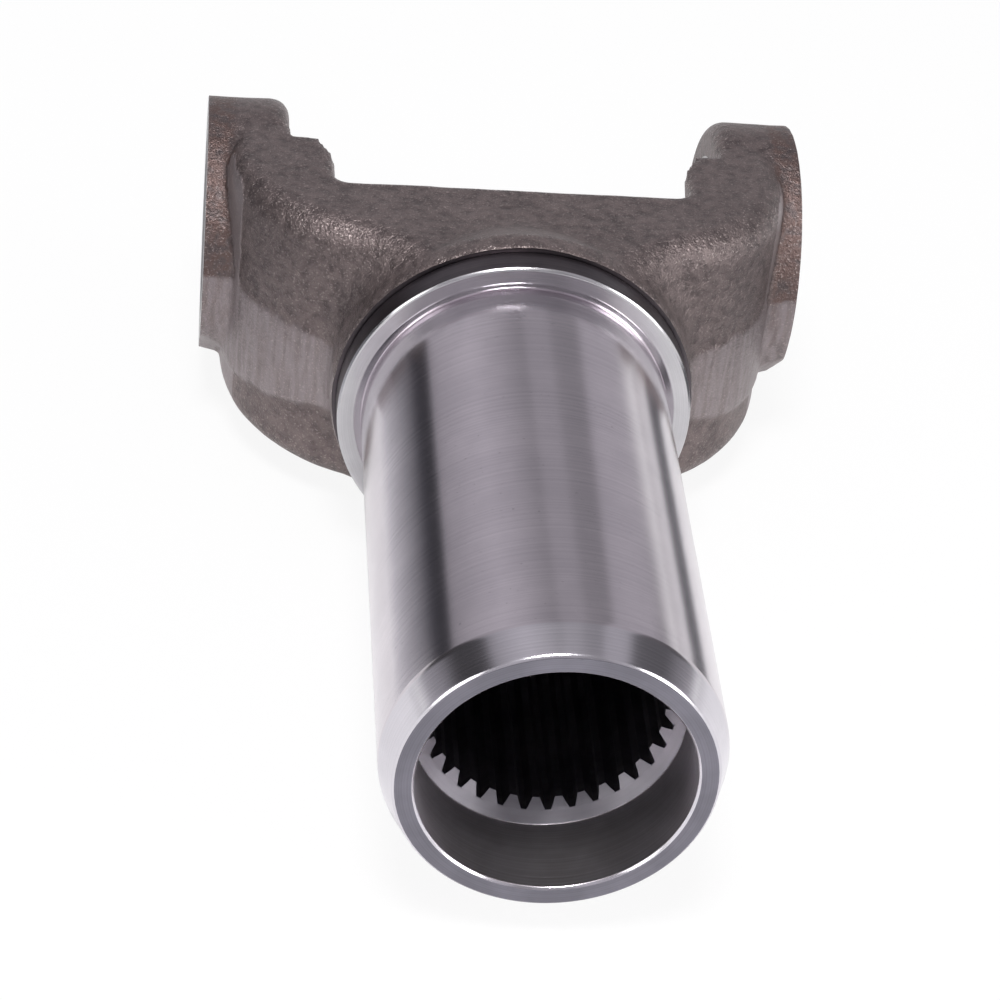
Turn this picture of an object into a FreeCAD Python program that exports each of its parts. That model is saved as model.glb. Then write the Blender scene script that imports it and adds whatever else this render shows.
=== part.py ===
"""Slip yoke of a propeller shaft: a forged fork on a machined, internally splined barrel.

The yoke is one steel forging. Its two ears carry the bearing caps of a universal joint, and its
barrel slides on a splined shaft while a seal runs on its ground outside. A pressed disc closes
the spline at the fork's floor and keeps the oil in.

Frame, in millimetres: the origin is the joint centre, where the axis of the cap bores (X) meets
the axis of the barrel (Y). The barrel's mouth points along -Y and the ears along +Y. Z is up, as
the yoke sits in the shaft with its cap bores level.
"""
import FreeCAD, Part
import math
import os

from FreeCAD import Vector

X_AXIS = Vector(1, 0, 0)
Y_AXIS = Vector(0, 1, 0)
Z_AXIS = Vector(0, 0, 1)

# ---------------------------------------------------------------- driving dimensions

# Ears and the bearing caps of the joint
EAR_SPAN = 97.6            # over the machined outer faces of the ears
EAR_RADIUS = 21.4          # round tip of an ear about the cap bores
INNER_SPAN = 70.8          # between the spot faces inside the ears
CAP_DIAMETER = 30.16       # bearing cap bore
RING_SPAN = 92.08          # across the caps, between the two snap rings
RING_WIDTH = 1.6           # snap ring groove along the bore
RING_DEPTH = 0.8           # snap ring groove into the wall
CAP_CHAMFER = 0.6          # lead-in at both ends of a cap bore

# Fork forging
ARM_SPAN = 90.8            # over the arms
ARM_STEP = 0.3             # how far an arm stays below the round of its ear
BACK_DISTANCE = 41.4       # joint centre to the back of the web
CORNER_RADIUS = 30.0       # round from the back of the web to an arm
SIDE_TAPER = 4.4           # degrees, how the arms deepen from the ears to the web
EDGE_RADIUS = 4.5          # long outer edges
FLOOR_DISTANCE = 21.7      # joint centre to the floor between the ears
POCKET_WIDTH = 57.0        # between the arms, at the floor
POCKET_CORNER = 2.5        # round from the floor to an arm
POCKET_EDGE = 1.2          # round along the top and bottom rims of the pocket
SPOT_RADIUS = 22.1         # spot face inside an ear
SPOT_FLARE = 3.2           # chamfer at the rim of the spot face

# Corner of each ear that was sheared off with the flash
SHEAR_DISTANCE = 19.4      # joint centre to the sheared facet, at the ear's face
SHEAR_LEAN = 25.0          # degrees, how the facet leans back across the ear
SHEAR_TURN = 48.7          # degrees, how far the facet faces down from the barrel's direction

# Trimmed land, left around the back where the flash was sheared off
LAND_RAISE = 0.4           # how far it stands out of the wall
LAND_TOP = 3.2             # height of its upper edge
LAND_BOTTOM = 14.0         # depth of its lower edge, at an arm
LAND_SLOPE = 16.0          # degrees, how its lower edge climbs towards the hub

# Hub and barrel
NECK_RAISE = 0.9           # radius of the forged neck over the turned collar
NECK_DIVE = 25.0           # degrees, how the neck dives into the web
HUB_FILLET = 6.0           # hollow round between the neck and the back of the web
SHOULDER_DISTANCE = 53.3   # joint centre to the turned shoulder
COLLAR_DIAMETER = 55.3     # turned collar behind the shoulder
COLLAR_LENGTH = 4.6
RELIEF_DEPTH = 0.6         # grinding relief at the foot of the barrel, into the shoulder
RELIEF_WIDTH = 1.0         # width of the same relief on the shoulder
RELIEF_LENGTH = 1.4        # length of the same relief on the barrel
RELIEF_SINK = 0.25         # how far the same relief goes below the ground surface
BARREL_DIAMETER = 47.88    # ground seal surface
BARREL_LENGTH = 85.4       # shoulder to mouth
LEAD_LENGTH = 5.2          # long chamfer that leads the barrel into its seal
LEAD_DEPTH = 1.7           # radial depth of the same chamfer
EDGE_BREAK = 0.4           # small chamfer on turned edges

# Spline: 30 degree involute, side fit
TEETH = 32
PITCH_DIAMETER = 33.867    # 24 teeth to each inch of it
PRESSURE_ANGLE = 30.0
ROOT_ALLOWANCE = 1.35      # root diameter over the pitch diameter, in modules
COUNTERBORE_DIAMETER = 38.3
COUNTERBORE_DEPTH = 13.0
LEAD_IN_ANGLE = 45.0       # cone from the counterbore to the teeth

# Pressed disc that closes the spline, dished like a washer
PLUG_DIAMETER = 38.1
PLUG_THICKNESS = 2.0
PLUG_CROWN = 2.6           # how far its middle stands towards the joint
PLUG_FLAT_DIAMETER = 16.0  # flat middle of the disc
PLUG_SEAT_DEPTH = 4.2      # seat below the floor of the pocket

# ---------------------------------------------------------------- derived sizes

EAR_FACE = EAR_SPAN / 2
EAR_INNER = INNER_SPAN / 2
ARM_RADIUS = EAR_RADIUS - ARM_STEP
CAP_RADIUS = CAP_DIAMETER / 2
POCKET_HALF = POCKET_WIDTH / 2
BARREL_RADIUS = BARREL_DIAMETER / 2
COLLAR_RADIUS = COLLAR_DIAMETER / 2
COUNTERBORE_RADIUS = COUNTERBORE_DIAMETER / 2
PLUG_RADIUS = PLUG_DIAMETER / 2
PLUG_FLAT_RADIUS = PLUG_FLAT_DIAMETER / 2
MOUTH_Y = -(SHOULDER_DISTANCE + BARREL_LENGTH)
SHOULDER_Y = -SHOULDER_DISTANCE
COLLAR_Y = SHOULDER_Y + COLLAR_LENGTH
HUB_Y = -(BACK_DISTANCE + HUB_FILLET)
FLOOR_Y = -FLOOR_DISTANCE
SEAT_Y = FLOOR_Y - PLUG_SEAT_DEPTH
MODULE = PITCH_DIAMETER / TEETH
PITCH_RADIUS = PITCH_DIAMETER / 2
BASE_RADIUS = PITCH_RADIUS * math.cos(math.radians(PRESSURE_ANGLE))
TIP_RADIUS = PITCH_RADIUS - MODULE / 2
ROOT_RADIUS = PITCH_RADIUS + ROOT_ALLOWANCE * MODULE / 2
CONE_LENGTH = (COUNTERBORE_RADIUS - TIP_RADIUS) / math.tan(math.radians(LEAD_IN_ANGLE))
TAPER = math.radians(SIDE_TAPER)
NECK_RADIUS = COLLAR_RADIUS + NECK_RAISE
OVERSHOOT = 5.0            # how far cutting tools run past what they cut


# ---------------------------------------------------------------- helpers

def polygon(points):
    """Closed wire through the points."""
    return Part.makePolygon(points + [points[0]])


def turned(profile, axis):
    """Solid of revolution about an axis through the origin, from a closed profile wire."""
    return Part.Face(profile).revolve(Vector(0, 0, 0), axis, 360)


def turned_about_y(points):
    """Solid of revolution about the barrel axis, from (radius, y) points."""
    return turned(polygon([Vector(r, y, 0) for r, y in points]), Y_AXIS)


def half_height(y):
    """Half the depth of the forging along Z at a place behind the ears."""
    return ARM_RADIUS / math.cos(TAPER) - y * math.tan(TAPER)


def both_sides(shape):
    """The shape on the +X side together with its mirror image."""
    return [shape, shape.mirror(Vector(0, 0, 0), X_AXIS)]


# ---------------------------------------------------------------- fork forging

def plan_face(height, raised):
    """Outline of the fork from above at one height, moved outwards by the raised amount."""
    arm = ARM_SPAN / 2 + raised
    back = -BACK_DISTANCE - raised
    radius = CORNER_RADIUS + raised
    tip = EAR_RADIUS + OVERSHOOT
    centre_x = arm - radius
    centre_y = back + radius
    slant = radius * math.sqrt(0.5)

    def at(x, y):
        return Vector(x, y, height)

    right = Part.Arc(at(centre_x, back), at(centre_x + slant, centre_y - slant), at(arm, centre_y))
    left = Part.Arc(at(-arm, centre_y), at(-centre_x - slant, centre_y - slant), at(-centre_x, back))
    return Part.Face(Part.Wire([
        Part.LineSegment(at(-centre_x, back), at(centre_x, back)).toShape(),
        right.toShape(),
        Part.LineSegment(at(arm, centre_y), at(arm, tip)).toShape(),
        Part.LineSegment(at(arm, tip), at(-arm, tip)).toShape(),
        Part.LineSegment(at(-arm, tip), at(-arm, centre_y)).toShape(),
        left.toShape(),
    ]))


def side_block():
    """Side outline of the fork, round at the ears and deeper towards the web."""
    far = HUB_Y - OVERSHOOT
    touch_y = ARM_RADIUS * math.sin(TAPER)
    touch_z = ARM_RADIUS * math.cos(TAPER)

    def at(y, z):
        return Vector(-EAR_SPAN, y, z)

    outline = Part.Wire([
        Part.LineSegment(at(far, -half_height(far)), at(touch_y, -touch_z)).toShape(),
        Part.Arc(at(touch_y, -touch_z), at(ARM_RADIUS, 0), at(touch_y, touch_z)).toShape(),
        Part.LineSegment(at(touch_y, touch_z), at(far, half_height(far))).toShape(),
        Part.LineSegment(at(far, half_height(far)), at(far, -half_height(far))).toShape(),
    ])
    return Part.Face(outline).extrude(X_AXIS * (2 * EAR_SPAN))


def edges_on_neck(block):
    """Edges where the neck's cylinder meets the back of the web."""
    edges = []
    for edge in block.Edges:
        span = edge.LastParameter - edge.FirstParameter
        points = [edge.valueAt(edge.FirstParameter + span * share) for share in (0.2, 0.5, 0.8)]
        on_cylinder = all(abs(math.hypot(p.x, p.z) - NECK_RADIUS) < 0.001 for p in points)
        is_seam = isinstance(edge.Curve, Part.Line)
        if on_cylinder and not is_seam and points[1].y > HUB_Y:
            edges.append(edge)
    return edges


def level_edges(block, low_y, reach):
    """Edges along the top and the underside, in front of a Y and within a reach along X."""
    edges = []
    for edge in block.Edges:
        box = edge.BoundBox
        level = min(abs(box.ZMin), abs(box.ZMax)) > ARM_RADIUS - EDGE_BREAK
        one_side = box.ZMin * box.ZMax > 0
        behind_tips = low_y < box.YMin < 0
        if level and one_side and behind_tips and max(box.XMax, -box.XMin) < reach:
            edges.append(edge)
    return edges


def pocket_tool():
    """Space between the ears, with round corners at its floor."""
    far = EAR_RADIUS + 2 * OVERSHOOT
    corner_y = FLOOR_Y + POCKET_CORNER
    corner_x = POCKET_HALF - POCKET_CORNER
    slant = POCKET_CORNER * math.sqrt(0.5)

    def at(x, y):
        return Vector(x, y, -EAR_SPAN)

    right = Part.Arc(at(corner_x, FLOOR_Y), at(corner_x + slant, corner_y - slant), at(POCKET_HALF, corner_y))
    left = Part.Arc(at(-POCKET_HALF, corner_y), at(-corner_x - slant, corner_y - slant), at(-corner_x, FLOOR_Y))
    outline = Part.Wire([
        Part.LineSegment(at(-corner_x, FLOOR_Y), at(corner_x, FLOOR_Y)).toShape(),
        right.toShape(),
        Part.LineSegment(at(POCKET_HALF, corner_y), at(POCKET_HALF, far)).toShape(),
        Part.LineSegment(at(POCKET_HALF, far), at(-POCKET_HALF, far)).toShape(),
        Part.LineSegment(at(-POCKET_HALF, far), at(-POCKET_HALF, corner_y)).toShape(),
        left.toShape(),
    ])
    return Part.Face(outline).extrude(Z_AXIS * (2 * EAR_SPAN))


def hub_block():
    """Plan outline drawn tall, with the neck and the hollow round that leads into it."""
    tall = NECK_RADIUS + HUB_FILLET + OVERSHOOT
    block = plan_face(-tall, 0).extrude(Z_AXIS * (2 * tall))
    end = HUB_Y - 2 * OVERSHOOT
    stub = Part.makeCylinder(NECK_RADIUS, -BACK_DISTANCE / 2 - end, Vector(0, end, 0), Y_AXIS)
    block = block.fuse(stub).removeSplitter()
    return block.makeFillet(HUB_FILLET, edges_on_neck(block))


def fork_block():
    """Fork with its long outer edges and the rims of its pocket rounded."""
    block = hub_block().common(side_block())
    block = block.makeFillet(EDGE_RADIUS, level_edges(block, HUB_Y - EDGE_BREAK, ARM_SPAN))
    behind = Part.makeBox(2 * EAR_SPAN, BACK_DISTANCE, 2 * EAR_SPAN,
                          Vector(-EAR_SPAN, COLLAR_Y - BACK_DISTANCE, -EAR_SPAN))
    block = block.cut([pocket_tool(), behind])
    rims = level_edges(block, FLOOR_Y - EDGE_BREAK, POCKET_HALF + EDGE_BREAK)
    return block.makeFillet(POCKET_EDGE, rims)


def neck():
    """Forged neck round the barrel axis, which dives into the top of the web."""
    dive = (-BACK_DISTANCE + COLLAR_Y) / 2
    end = dive + (NECK_RADIUS - EAR_RADIUS) / math.tan(math.radians(NECK_DIVE))
    return turned_about_y([
        (0, COLLAR_Y),
        (NECK_RADIUS, COLLAR_Y),
        (NECK_RADIUS, dive),
        (EAR_RADIUS, end),
        (0, end),
    ])


def shear_tool():
    """Wedge that takes the flash corner off the boss on the +X side."""
    lean = math.tan(math.radians(SHEAR_LEAN))
    turn = math.radians(SHEAR_TURN)
    outwards = Vector(0, -math.cos(turn), -math.sin(turn))
    along = X_AXIS.cross(outwards)
    outer_x = EAR_FACE + OVERSHOOT
    outer = EAR_RADIUS + OVERSHOOT
    inner_x = EAR_FACE - (outer - SHEAR_DISTANCE) / lean

    def at(x, distance):
        return X_AXIS * x + outwards * distance - along * EAR_RADIUS

    wedge = polygon([
        at(outer_x, SHEAR_DISTANCE - OVERSHOOT * lean),
        at(outer_x, outer),
        at(inner_x, outer),
    ])
    return Part.Face(wedge).extrude(along * (2 * EAR_RADIUS))


def ear_discs():
    """Round bosses about the cap bores, each with its sheared corner."""
    disc = Part.makeCylinder(EAR_RADIUS, EAR_FACE - POCKET_HALF, Vector(POCKET_HALF, 0, 0), X_AXIS)
    return both_sides(disc.cut(shear_tool()))


def trimmed_land():
    """Upright band around the back of the fork where the flash was sheared off."""
    reach = ARM_SPAN
    inner = COLLAR_RADIUS
    drop = (ARM_SPAN / 2 - inner) * math.tan(math.radians(LAND_SLOPE))
    front = -EAR_RADIUS / 2
    back = -BACK_DISTANCE - OVERSHOOT
    band = polygon([
        Vector(inner, front, LAND_TOP),
        Vector(inner, front, -LAND_BOTTOM + drop),
        Vector(reach, front, -LAND_BOTTOM - (reach - ARM_SPAN / 2) * math.tan(math.radians(LAND_SLOPE))),
        Vector(reach, front, LAND_TOP),
    ])
    slab = Part.Face(band).extrude(Y_AXIS * (back - front))
    outline = plan_face(-EAR_RADIUS, LAND_RAISE).extrude(Z_AXIS * (2 * EAR_RADIUS))
    return both_sides(slab.common(outline).cut(pocket_tool()))


# ---------------------------------------------------------------- barrel

def barrel_blank():
    """Turned collar and barrel in one profile, with the lead chamfer at the mouth."""
    lead_radius = BARREL_RADIUS - LEAD_DEPTH
    core = FLOOR_Y - POCKET_CORNER
    return turned_about_y([
        (0, core),
        (EAR_RADIUS, core),
        (COLLAR_RADIUS, COLLAR_Y),
        (COLLAR_RADIUS, SHOULDER_Y + EDGE_BREAK),
        (COLLAR_RADIUS - EDGE_BREAK, SHOULDER_Y),
        (BARREL_RADIUS + RELIEF_WIDTH, SHOULDER_Y),
        (BARREL_RADIUS - RELIEF_SINK, SHOULDER_Y + RELIEF_DEPTH),
        (BARREL_RADIUS, SHOULDER_Y - RELIEF_LENGTH),
        (BARREL_RADIUS, MOUTH_Y + LEAD_LENGTH),
        (lead_radius, MOUTH_Y + EDGE_BREAK),
        (lead_radius - EDGE_BREAK, MOUTH_Y),
        (0, MOUTH_Y),
    ])


def counterbore_tool():
    """Counterbore at the mouth, with its edge break and the cone that leads onto the teeth."""
    mouth = MOUTH_Y - OVERSHOOT
    cone = MOUTH_Y + COUNTERBORE_DEPTH
    return turned_about_y([
        (0, mouth),
        (COUNTERBORE_RADIUS + EDGE_BREAK + OVERSHOOT, mouth),
        (COUNTERBORE_RADIUS, MOUTH_Y + EDGE_BREAK),
        (COUNTERBORE_RADIUS, cone),
        (TIP_RADIUS, cone + CONE_LENGTH),
        (TIP_RADIUS, SEAT_Y),
        (0, SEAT_Y),
    ])


def space_half_angle(radius):
    """Half the angle of a spline space at a radius, from the involute of its base circle."""
    pressure = math.radians(PRESSURE_ANGLE)
    at_pitch = math.tan(pressure) - pressure
    angle = math.acos(BASE_RADIUS / radius)
    here = math.tan(angle) - angle
    return math.pi / (2 * TEETH) + at_pitch - here


def polar(radius, angle):
    """Point on the mouth's plane at a radius and an angle about the barrel axis."""
    return Vector(radius * math.cos(angle), MOUTH_Y, radius * math.sin(angle))


def flank(middle, side):
    """One involute flank of a space, from the tip circle out to the root circle."""
    steps = 4
    points = []
    for step in range(steps + 1):
        radius = TIP_RADIUS + (ROOT_RADIUS - TIP_RADIUS) * step / steps
        points.append(polar(radius, middle + side * space_half_angle(radius)))
    curve = Part.BSplineCurve()
    curve.interpolate(points)
    return curve.toShape()


def broach():
    """Toothed bar with the form of every spline space, as the broach cuts them."""
    pitch = 2 * math.pi / TEETH
    edges = []
    for tooth in range(TEETH):
        middle = math.pi / 2 + tooth * pitch
        tip_angle = space_half_angle(TIP_RADIUS)
        root_angle = space_half_angle(ROOT_RADIUS)
        edges.append(flank(middle, -1))
        edges.append(Part.Arc(
            polar(ROOT_RADIUS, middle - root_angle),
            polar(ROOT_RADIUS, middle),
            polar(ROOT_RADIUS, middle + root_angle)).toShape())
        edges.append(flank(middle, 1))
        edges.append(Part.Arc(
            polar(TIP_RADIUS, middle + tip_angle),
            polar(TIP_RADIUS, middle + pitch / 2),
            polar(TIP_RADIUS, middle + pitch - tip_angle)).toShape())
    outline = Part.Wire(Part.__sortEdges__(edges))
    return Part.Face(outline).extrude(Y_AXIS * (SEAT_Y - MOUTH_Y + EDGE_BREAK))


# ---------------------------------------------------------------- machining of the fork

def spot_face_tool():
    """Round recess inside both ears, with a chamfered rim."""
    rim = SPOT_RADIUS + SPOT_FLARE
    profile = polygon([
        Vector(0, 0, 0),
        Vector(EAR_INNER, 0, 0),
        Vector(EAR_INNER, SPOT_RADIUS, 0),
        Vector(POCKET_HALF + SPOT_FLARE, SPOT_RADIUS, 0),
        Vector(POCKET_HALF, rim, 0),
        Vector(0, rim, 0),
    ])
    whole = turned(profile, X_AXIS)
    keep_out = Part.makeBox(POCKET_WIDTH, FLOOR_DISTANCE, 4 * EAR_RADIUS,
                            Vector(-POCKET_HALF, FLOOR_Y - FLOOR_DISTANCE, -2 * EAR_RADIUS))
    return both_sides(whole.cut(keep_out))


def cap_bore_tool():
    """Bore for one bearing cap, with its snap ring groove and both lead-ins."""
    ring = RING_SPAN / 2
    flare = CAP_CHAMFER + OVERSHOOT
    points = [
        (0, EAR_INNER - OVERSHOOT),
        (CAP_RADIUS + flare, EAR_INNER - OVERSHOOT),
        (CAP_RADIUS, EAR_INNER + CAP_CHAMFER),
        (CAP_RADIUS, ring),
        (CAP_RADIUS + RING_DEPTH, ring),
        (CAP_RADIUS + RING_DEPTH, ring + RING_WIDTH),
        (CAP_RADIUS, ring + RING_WIDTH),
        (CAP_RADIUS, EAR_FACE - CAP_CHAMFER),
        (CAP_RADIUS + flare, EAR_FACE + OVERSHOOT),
        (0, EAR_FACE + OVERSHOOT),
    ]
    return turned(polygon([Vector(x, r, 0) for r, x in points]), X_AXIS)


def plug_seat_tool():
    """Seat for the pressed disc, sunk in the floor of the pocket."""
    far = FLOOR_Y + OVERSHOOT
    return turned_about_y([
        (0, SEAT_Y),
        (PLUG_RADIUS, SEAT_Y),
        (PLUG_RADIUS, FLOOR_Y - EDGE_BREAK),
        (PLUG_RADIUS + EDGE_BREAK + OVERSHOOT, far),
        (0, far),
    ])


def slip_yoke():
    """Whole yoke: the forging with its barrel, then every cut."""
    forging = fork_block()
    for pieces in (ear_discs(), trimmed_land(), [neck()], [barrel_blank()]):
        forging = forging.fuse(pieces)
    tools = spot_face_tool() + both_sides(cap_bore_tool())
    tools += [counterbore_tool(), broach(), plug_seat_tool()]
    return forging.cut(tools).removeSplitter()


def core_plug():
    """Dished steel disc pressed into its seat, its flat middle standing towards the joint."""
    low = SEAT_Y
    high = SEAT_Y + PLUG_THICKNESS
    return turned_about_y([
        (PLUG_RADIUS, low),
        (PLUG_RADIUS, high),
        (PLUG_FLAT_RADIUS, high + PLUG_CROWN),
        (0, high + PLUG_CROWN),
        (0, low + PLUG_CROWN),
        (PLUG_FLAT_RADIUS, low + PLUG_CROWN),
        (PLUG_RADIUS - PLUG_THICKNESS, low),
    ])


def main():
    """Build both pieces and write one STEP file for each."""
    os.makedirs("parts", exist_ok=True)
    for name, shape in (("slip_yoke", slip_yoke()), ("core_plug", core_plug())):
        shape.exportStep("parts/" + name + ".step")
        box = shape.BoundBox
        print(name, "valid", shape.isValid(), "solids", len(shape.Solids), "volume", round(shape.Volume),
              "x", round(box.XMin, 2), round(box.XMax, 2), "y", round(box.YMin, 2), round(box.YMax, 2),
              "z", round(box.ZMin, 2), round(box.ZMax, 2))


main()
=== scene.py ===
"""Slip yoke of a propeller shaft, dressed for the studio.

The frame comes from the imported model: metres, the origin at the joint centre, the cap bores along X,
the barrel along -Y and Z up.
"""
import logging
import math
from dataclasses import dataclass, field
from enum import Enum
from typing import Any, Callable, Sequence

import bmesh
import bpy
from mathutils import Matrix, Vector, noise


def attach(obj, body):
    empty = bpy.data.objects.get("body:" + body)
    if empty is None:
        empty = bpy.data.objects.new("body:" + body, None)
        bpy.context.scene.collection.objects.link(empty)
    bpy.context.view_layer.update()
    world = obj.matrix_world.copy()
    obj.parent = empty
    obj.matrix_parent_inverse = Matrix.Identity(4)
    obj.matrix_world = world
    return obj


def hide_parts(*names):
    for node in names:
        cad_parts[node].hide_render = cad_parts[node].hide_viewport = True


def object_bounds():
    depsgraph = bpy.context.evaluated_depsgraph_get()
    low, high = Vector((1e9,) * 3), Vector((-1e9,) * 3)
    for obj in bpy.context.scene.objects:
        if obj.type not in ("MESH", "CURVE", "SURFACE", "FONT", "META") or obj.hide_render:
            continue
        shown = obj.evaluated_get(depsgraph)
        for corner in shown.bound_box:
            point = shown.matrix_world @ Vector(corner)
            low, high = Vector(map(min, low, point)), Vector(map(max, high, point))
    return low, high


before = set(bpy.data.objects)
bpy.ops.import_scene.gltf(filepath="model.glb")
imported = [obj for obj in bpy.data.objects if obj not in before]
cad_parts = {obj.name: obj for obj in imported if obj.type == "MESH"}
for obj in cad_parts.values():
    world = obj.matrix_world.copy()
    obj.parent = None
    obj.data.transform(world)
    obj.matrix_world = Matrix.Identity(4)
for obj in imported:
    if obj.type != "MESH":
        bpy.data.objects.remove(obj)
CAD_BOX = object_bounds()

LOG = logging.getLogger("slip_yoke")
MM = 0.001


class Finish(Enum):
    """The surface finishes of the yoke, in the order of the material slots of every piece."""

    FORGED = 0
    FACED = 1
    BORED = 2
    GROUND = 3
    COLLAR = 4
    SHOULDER = 5
    CHAMFER = 6
    END_FACE = 7
    COUNTERBORE = 8
    SPLINE = 9
    PRESSED = 10


# ---------------------------------------------------------------- shader maths


class Wire:
    """A node socket that takes part in Python arithmetic; every operator adds one Math node."""

    def __init__(self, shader: "Shader", socket: bpy.types.NodeSocket) -> None:
        """Wrap one output socket of a shader's tree."""
        self.shader = shader
        self.socket = socket

    def _math(self, operation: str, *values: Any) -> "Wire":
        """Return the result of one Math node on the values."""
        return self.shader.node("ShaderNodeMath", {"operation": operation}, dict(enumerate(values)))

    def __add__(self, other: Any) -> "Wire":
        """Sum."""
        return self._math("ADD", self, other)

    def __radd__(self, other: Any) -> "Wire":
        """Sum, reflected."""
        return self._math("ADD", other, self)

    def __sub__(self, other: Any) -> "Wire":
        """Difference."""
        return self._math("SUBTRACT", self, other)

    def __rsub__(self, other: Any) -> "Wire":
        """Difference, reflected."""
        return self._math("SUBTRACT", other, self)

    def __mul__(self, other: Any) -> "Wire":
        """Product."""
        return self._math("MULTIPLY", self, other)

    def __rmul__(self, other: Any) -> "Wire":
        """Product, reflected."""
        return self._math("MULTIPLY", other, self)

    def __truediv__(self, other: Any) -> "Wire":
        """Quotient."""
        return self._math("DIVIDE", self, other)

    def __rtruediv__(self, other: Any) -> "Wire":
        """Quotient, reflected."""
        return self._math("DIVIDE", other, self)

    def __pow__(self, other: Any) -> "Wire":
        """Power."""
        return self._math("POWER", self, other)

    def __rpow__(self, other: Any) -> "Wire":
        """Power, reflected."""
        return self._math("POWER", other, self)

    def over(self, low: float, high: float) -> "Wire":
        """Return 0 below the low value and 1 above the high one, smooth in between."""
        return self.shader.node(
            "ShaderNodeMapRange",
            {"interpolation_type": "SMOOTHSTEP"},
            {0: self, 1: low, 2: high, 3: 0.0, 4: 1.0},
        )


class Shader:
    """Builds one material's node tree."""

    def __init__(self, name: str, tree: bpy.types.NodeTree | None = None) -> None:
        """Start an empty tree, in a new material unless one is given.

        Args:
            name: the material's name.
            tree: a world's tree, to be used in place of a material's.
        """
        self.material = None
        if tree is None:
            self.material = bpy.data.materials.new(name)
            self.material.use_nodes = True
            tree = self.material.node_tree
        self.tree = tree
        self.tree.nodes.clear()

    def node(self, kind: str, settings: dict[str, Any], inputs: dict[Any, Any], output: Any = 0) -> Wire:
        """Add one node.

        Args:
            kind: the node's type.
            settings: its properties, set before its sockets.
            inputs: values or wires by the socket's name or number.
            output: name or number of the socket that is returned.

        Returns:
            The wire of the chosen output.
        """
        made = self.tree.nodes.new(kind)
        for key, value in settings.items():
            if key == "stops":
                self._stops(made.color_ramp, value)
            else:
                setattr(made, key, value)
        for key, value in inputs.items():
            socket = made.inputs[key]
            if isinstance(value, Wire):
                self.tree.links.new(value.socket, socket)
            else:
                socket.default_value = value
        return Wire(self, made.outputs[output])

    @staticmethod
    def _stops(ramp: bpy.types.ColorRamp, stops: Sequence[tuple[float, tuple[float, float, float]]]) -> None:
        """Fill a colour ramp with (place, colour) stops."""
        while len(ramp.elements) > 1:
            ramp.elements.remove(ramp.elements[-1])
        ramp.elements[0].position = stops[0][0]
        ramp.elements[0].color = (*stops[0][1], 1.0)
        for place, colour in stops[1:]:
            ramp.elements.new(place).color = (*colour, 1.0)

    def place(self, scale: tuple[float, float, float] = (1, 1, 1)) -> Wire:
        """Return Object coordinates, each axis times its scale."""
        here = self.node("ShaderNodeTexCoord", {}, {}, "Object")
        return self.node("ShaderNodeVectorMath", {"operation": "MULTIPLY"}, {0: here, 1: scale})

    def axes(self) -> tuple[Wire, Wire, Wire]:
        """Return x, y and z, in metres."""
        split = self.node("ShaderNodeSeparateXYZ", {}, {0: self.place()}).socket.node
        return tuple(Wire(self, split.outputs[i]) for i in range(3))

    def grain(self, size_mm: float, stretch: tuple[float, float, float] = (1, 1, 1), detail: float = 3.0,
              rough: float = 0.55, seed: float = 0.0) -> Wire:
        """Return noise of about 0 to 1, with features of one size, in millimetres."""
        scale = tuple(s / (size_mm * MM) for s in stretch)
        return self.node(
            "ShaderNodeTexNoise", {"noise_dimensions": "4D"},
            {"Vector": self.place(scale), "W": seed, "Scale": 1.0, "Detail": detail, "Roughness": rough},
        )

    def mark(self, name: str) -> Wire:
        """Return a number that the piece's mesh holds at each of its points."""
        return self.node("ShaderNodeAttribute", {"attribute_name": name}, {}, "Fac")

    def tint(self, amount: Any, first: Any, second: Any) -> Wire:
        """Return the first colour where the amount is 0 and the second where it is 1."""
        def colour(value: Any) -> Any:
            """Add the alpha that a colour socket wants."""
            return value if isinstance(value, Wire) else (*value, 1.0)
        return self.node(
            "ShaderNodeMix", {"data_type": "RGBA"},
            {0: amount, 6: colour(first), 7: colour(second)}, 2,
        )

    def bump(self, height: Wire, depth_mm: float, under: Wire | None = None) -> Wire:
        """Return a normal bumped by a height of about 0 to 1 over a depth in millimetres."""
        inputs = {"Height": height, "Strength": 1.0, "Distance": depth_mm * MM}
        if under is not None:
            inputs["Normal"] = under
        return self.node("ShaderNodeBump", {}, inputs)

    def metal(self, colour: Any, roughness: Any, metallic: Any, normal: Wire | None = None) -> None:
        """End the tree in one Principled surface."""
        inputs = {"Base Color": colour if isinstance(colour, Wire) else (*colour, 1.0),
                  "Roughness": roughness, "Metallic": metallic}
        if normal is not None:
            inputs["Normal"] = normal
        self.close(self.node("ShaderNodeBsdfPrincipled", {}, inputs))

    def close(self, surface: Wire, kind: str = "ShaderNodeOutputMaterial") -> None:
        """Add the tree's output node and feed its surface.

        Args:
            surface: the shader wire.
            kind: the type of the output node.
        """
        out = self.tree.nodes.new(kind)
        self.tree.links.new(surface.socket, out.inputs["Surface"])


# ---------------------------------------------------------------- finishes


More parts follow.
